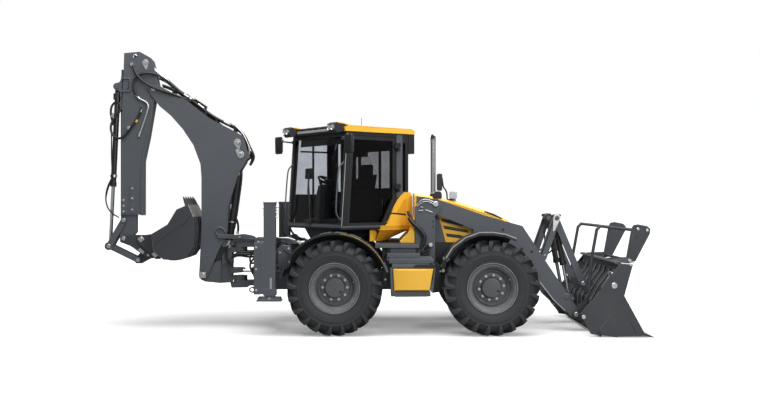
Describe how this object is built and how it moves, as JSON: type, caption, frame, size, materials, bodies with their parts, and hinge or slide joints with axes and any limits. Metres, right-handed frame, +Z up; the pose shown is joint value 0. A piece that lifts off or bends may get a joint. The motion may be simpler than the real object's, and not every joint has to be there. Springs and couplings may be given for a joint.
{
  "type": "backhoe loader",
  "caption": "Four-wheel backhoe loader with a slewing cab, side-shift backhoe with telescopic stick, vertical stabilisers, clam loader bucket and flip-over forks.",
  "frame": {"origin": "on the ground, in the middle of the machine's length and width", "axes": "+X towards the loader bucket, +Y to the machine's left side, +Z up"},
  "size_m": [8.46, 2.44, 4.358],
  "materials": {
    "charcoal": "satin charcoal grey paint",
    "bucket_grey": "matt dark grey paint, worn at the edges",
    "yellow": "semi-gloss warm yellow paint",
    "black_plastic": "matt black",
    "tyre_rubber": "matt black rubber",
    "chrome_rod": "polished hard chrome",
    "tinted_glass": "grey tinted safety glass",
    "seat_fabric": "dark woven seat cover"
  },
  "bodies": {
    "chassis": {"main_frame": "charcoal", "bonnet": "yellow", "loader_tower": "charcoal", "side_tanks": "charcoal", "bonnet_fittings": "black_plastic", "rear_fenders": "charcoal", "axles": "charcoal", "rear_frame": "charcoal"},
    "cab": {"cab_base": "black_plastic", "cab_frame": "charcoal", "cab_roof": "yellow", "tail_panel": "yellow", "cab_glass": "tinted_glass", "seat": "seat_fabric", "cab_fittings": "black_plastic"},
    "door": {"cab_door": "black_plastic", "door_glass": "tinted_glass"},
    "carriage": {"carriage": "charcoal"},
    "swing_post": {"swing_post": "charcoal"},
    "boom": {"boom": "charcoal"},
    "stick": {"stick": "charcoal"},
    "stick_slide": {"stick_slide": "charcoal"},
    "bucket_rocker": {"bucket_rocker": "charcoal"},
    "bucket_link": {"bucket_link": "charcoal"},
    "digging_bucket": {"quick_coupler": "bucket_grey", "digging_bucket": "bucket_grey"},
    "boom_ram_barrel": {"boom_ram_barrel": "charcoal"},
    "boom_ram_rod": {"boom_ram_rod": "chrome_rod"},
    "dipper_ram_barrel": {"dipper_ram_barrel": "charcoal"},
    "dipper_ram_rod": {"dipper_ram_rod": "chrome_rod"},
    "bucket_ram_barrel": {"bucket_ram_barrel": "charcoal"},
    "bucket_ram_rod": {"bucket_ram_rod": "chrome_rod"},
    "loader_arms": {"loader_arms": "charcoal"},
    "bell_cranks": {"bell_cranks": "charcoal"},
    "loader_links": {"loader_links": "charcoal"},
    "tilt_ram_barrel": {"tilt_ram_barrel": "charcoal"},
    "tilt_ram_rod": {"tilt_ram_rod": "chrome_rod"},
    "lift_ram_barrel": {"lift_ram_barrel": "charcoal"},
    "lift_ram_rod": {"lift_ram_rod": "chrome_rod"},
    "bucket_back": {"bucket_back": "bucket_grey"},
    "clam": {"clam": "bucket_grey"},
    "clam_ram_barrel": {"clam_ram_barrel": "charcoal"},
    "clam_ram_rod": {"clam_ram_rod": "chrome_rod"},
    "pallet_forks": {"pallet_forks": "bucket_grey"},
    "wheel_front_right": {"tyre_front_right": "tyre_rubber", "rim_front_right": "charcoal"},
    "knuckle_right": {"knuckle_right": "charcoal"},
    "wheel_front_left": {"tyre_front_left": "tyre_rubber", "rim_front_left": "charcoal"},
    "knuckle_left": {"knuckle_left": "charcoal"},
    "wheel_rear_right": {"tyre_rear_right": "tyre_rubber", "rim_rear_right": "charcoal"},
    "wheel_rear_left": {"tyre_rear_left": "tyre_rubber", "rim_rear_left": "charcoal"},
    "stabiliser_right": {"stabiliser_right": "charcoal"},
    "stabiliser_left": {"stabiliser_left": "charcoal"}
  },
  "joints": [
    {"name": "wheel_front_right", "type": "hinge", "parent": "knuckle_right", "child": "wheel_front_right", "pos_m": [1.825, -0.945, 0.71], "axis": [0, 1, 0], "continuous": true},
    {"name": "wheel_front_left", "type": "hinge", "parent": "knuckle_left", "child": "wheel_front_left", "pos_m": [1.825, 0.945, 0.71], "axis": [0, 1, 0], "continuous": true},
    {"name": "wheel_rear_right", "type": "hinge", "parent": "chassis", "child": "wheel_rear_right", "pos_m": [-0.5, -0.945, 0.71], "axis": [0, 1, 0], "continuous": true},
    {"name": "wheel_rear_left", "type": "hinge", "parent": "chassis", "child": "wheel_rear_left", "pos_m": [-0.5, 0.945, 0.71], "axis": [0, 1, 0], "continuous": true},
    {"name": "steer_left", "type": "hinge", "parent": "chassis", "child": "knuckle_left", "pos_m": [1.825, 0.83, 0.71], "axis": [0, 0, 1], "range_deg": [-15, 15]},
    {"name": "steer_right", "type": "hinge", "parent": "chassis", "child": "knuckle_right", "pos_m": [1.825, -0.83, 0.71], "axis": [0, 0, 1], "range_deg": [-15, 15]},
    {"name": "cab_slew", "type": "hinge", "parent": "chassis", "child": "cab", "pos_m": [-0.45, 0, 1.372], "axis": [0, 0, 1], "range_deg": [-37, 143]},
    {"name": "door", "type": "hinge", "parent": "cab", "child": "door", "pos_m": [0.45348, -0.29835, 2.3], "axis": [0, 0, 1], "range_deg": [0, 85]},
    {"name": "stabiliser_right", "type": "slide", "parent": "chassis", "child": "stabiliser_right", "axis": [0, 0, -1], "range_m": [0, 0.6]},
    {"name": "stabiliser_left", "type": "slide", "parent": "chassis", "child": "stabiliser_left", "axis": [0, 0, -1], "range_m": [0, 0.6]},
    {"name": "side_shift", "type": "slide", "parent": "chassis", "child": "carriage", "axis": [0, 1, 0], "range_m": [-0.55, 0.55]},
    {"name": "swing", "type": "hinge", "parent": "carriage", "child": "swing_post", "pos_m": [-2.05, 0, 1], "axis": [0, 0, 1], "range_deg": [-80, 80]},
    {"name": "boom", "type": "hinge", "parent": "swing_post", "child": "boom", "pos_m": [-2.627, 0, 0.823], "axis": [0, -1, 0], "range_deg": [0, 100]},
    {"name": "boom_ram_foot", "type": "hinge", "parent": "swing_post", "child": "boom_ram_barrel", "pos_m": [-2.232, 0, 1.281], "axis": [0, -1, 0], "range_deg": [0, 103.7]},
    {"name": "boom_ram_stroke", "type": "slide", "parent": "boom_ram_barrel", "child": "boom_ram_rod", "axis": [0.1329, 0, 0.9911], "range_m": [0, 0.928]},
    {"name": "stick", "type": "hinge", "parent": "boom", "child": "stick", "pos_m": [-3.418, 0, 3.762], "axis": [0, 1, 0], "range_deg": [0, 100]},
    {"name": "dipper_ram_foot", "type": "hinge", "parent": "boom", "child": "dipper_ram_barrel", "pos_m": [-2.072, 0, 2.904], "axis": [0, 1, 0], "range_deg": [0, 4.2]},
    {"name": "dipper_ram_stroke", "type": "slide", "parent": "dipper_ram_barrel", "child": "dipper_ram_rod", "axis": [-0.7545, 0, 0.6564], "range_m": [-0.667, 0]},
    {"name": "stick_extend", "type": "slide", "parent": "stick", "child": "stick_slide", "axis": [0, 0, -1], "range_m": [0, 0.9]},
    {"name": "digging_bucket", "type": "hinge", "parent": "stick_slide", "child": "digging_bucket", "pos_m": [-3.891, 0, 1.398], "axis": [0, 1, 0], "range_deg": [0, 110]},
    {"name": "rocker_pin", "type": "hinge", "parent": "stick_slide", "child": "bucket_rocker", "pos_m": [-3.889, 0, 1.687], "axis": [0, 1, 0], "range_deg": [0, 76.3]},
    {"name": "link_pin", "type": "hinge", "parent": "bucket_rocker", "child": "bucket_link", "pos_m": [-4.126, 0, 1.278], "axis": [0, 1, 0], "range_deg": [-18.7, 0]},
    {"name": "bucket_ram_foot", "type": "hinge", "parent": "stick_slide", "child": "bucket_ram_barrel", "pos_m": [-4.004, 0, 3.809], "axis": [0, 1, 0], "range_deg": [0, 7.9]},
    {"name": "bucket_ram_stroke", "type": "slide", "parent": "bucket_ram_barrel", "child": "bucket_ram_rod", "axis": [-0.0481, 0, -0.9988], "range_m": [-0.513, 0]},
    {"name": "loader_arms", "type": "hinge", "parent": "chassis", "child": "loader_arms", "pos_m": [1.024, 0, 1.947], "axis": [0, -1, 0], "range_deg": [0, 68]},
    {"name": "lift_ram_foot", "type": "hinge", "parent": "chassis", "child": "lift_ram_barrel", "pos_m": [0.9, 0, 0.8], "axis": [0, -1, 0], "range_deg": [0, 24.2]},
    {"name": "lift_ram_stroke", "type": "slide", "parent": "lift_ram_barrel", "child": "lift_ram_rod", "axis": [0.7809, 0, 0.6247], "range_m": [0, 0.777]},
    {"name": "bucket_tilt", "type": "hinge", "parent": "loader_arms", "child": "bucket_back", "pos_m": [3.178, 0, 0.256], "axis": [0, 1, 0], "range_deg": [-30, 60]},
    {"name": "crank_pin", "type": "hinge", "parent": "loader_arms", "child": "bell_cranks", "pos_m": [2.69, 0, 1.125], "axis": [0, 1, 0], "range_deg": [-22.8, 44.6]},
    {"name": "links_pin", "type": "hinge", "parent": "bell_cranks", "child": "loader_links", "pos_m": [2.898, 0, 1.721], "axis": [0, 1, 0], "range_deg": [-44.3, 22.7]},
    {"name": "tilt_ram_top", "type": "hinge", "parent": "bell_cranks", "child": "tilt_ram_barrel", "pos_m": [2.898, 0, 1.721], "axis": [0, 1, 0], "range_deg": [-26.3, 13.7]},
    {"name": "tilt_ram_stroke", "type": "slide", "parent": "tilt_ram_barrel", "child": "tilt_ram_rod", "axis": [0.1855, 0, -0.9826], "range_m": [-0.313, 0.159]},
    {"name": "clam", "type": "hinge", "parent": "bucket_back", "child": "clam", "pos_m": [3.597, 0, 0.757], "axis": [0, -1, 0], "range_deg": [0, 58]},
    {"name": "clam_ram_foot", "type": "hinge", "parent": "bucket_back", "child": "clam_ram_barrel", "pos_m": [3.3, 0, 0.47], "axis": [0, -1, 0], "range_deg": [0, 10.3]},
    {"name": "clam_ram_stroke", "type": "slide", "parent": "clam_ram_barrel", "child": "clam_ram_rod", "axis": [0.5181, 0, 0.8553], "range_m": [-0.151, 0]},
    {"name": "pallet_forks", "type": "hinge", "parent": "bucket_back", "child": "pallet_forks", "pos_m": [3.93, 0, 1.095], "axis": [0, 1, 0], "range_deg": [0, 95]}
  ],
  "couplings": [
    {"joint": "steer_right", "follows": "steer_left", "ratio": 1},
    {"joint": "boom_ram_foot", "follows": "boom", "ratio": 1.0266},
    {"joint": "boom_ram_stroke", "follows": "boom", "m_per_rad": 0.52858},
    {"joint": "dipper_ram_foot", "follows": "stick", "ratio": 0.03825},
    {"joint": "dipper_ram_stroke", "follows": "stick", "m_per_rad": -0.37938},
    {"joint": "rocker_pin", "follows": "digging_bucket", "ratio": 0.6842},
    {"joint": "link_pin", "follows": "digging_bucket", "ratio": -0.16135},
    {"joint": "bucket_ram_foot", "follows": "digging_bucket", "ratio": 0.06297},
    {"joint": "bucket_ram_stroke", "follows": "digging_bucket", "m_per_rad": -0.26471},
    {"joint": "lift_ram_foot", "follows": "loader_arms", "ratio": 0.3411},
    {"joint": "lift_ram_stroke", "follows": "loader_arms", "m_per_rad": 0.65027},
    {"joint": "crank_pin", "follows": "bucket_tilt", "ratio": 0.72697},
    {"joint": "links_pin", "follows": "bucket_tilt", "ratio": -0.72209},
    {"joint": "tilt_ram_top", "follows": "bucket_tilt", "ratio": -0.42188},
    {"joint": "tilt_ram_stroke", "follows": "bucket_tilt", "m_per_rad": -0.29376},
    {"joint": "clam_ram_foot", "follows": "clam", "ratio": 0.15978},
    {"joint": "clam_ram_stroke", "follows": "clam", "m_per_rad": -0.14433}
  ]
}
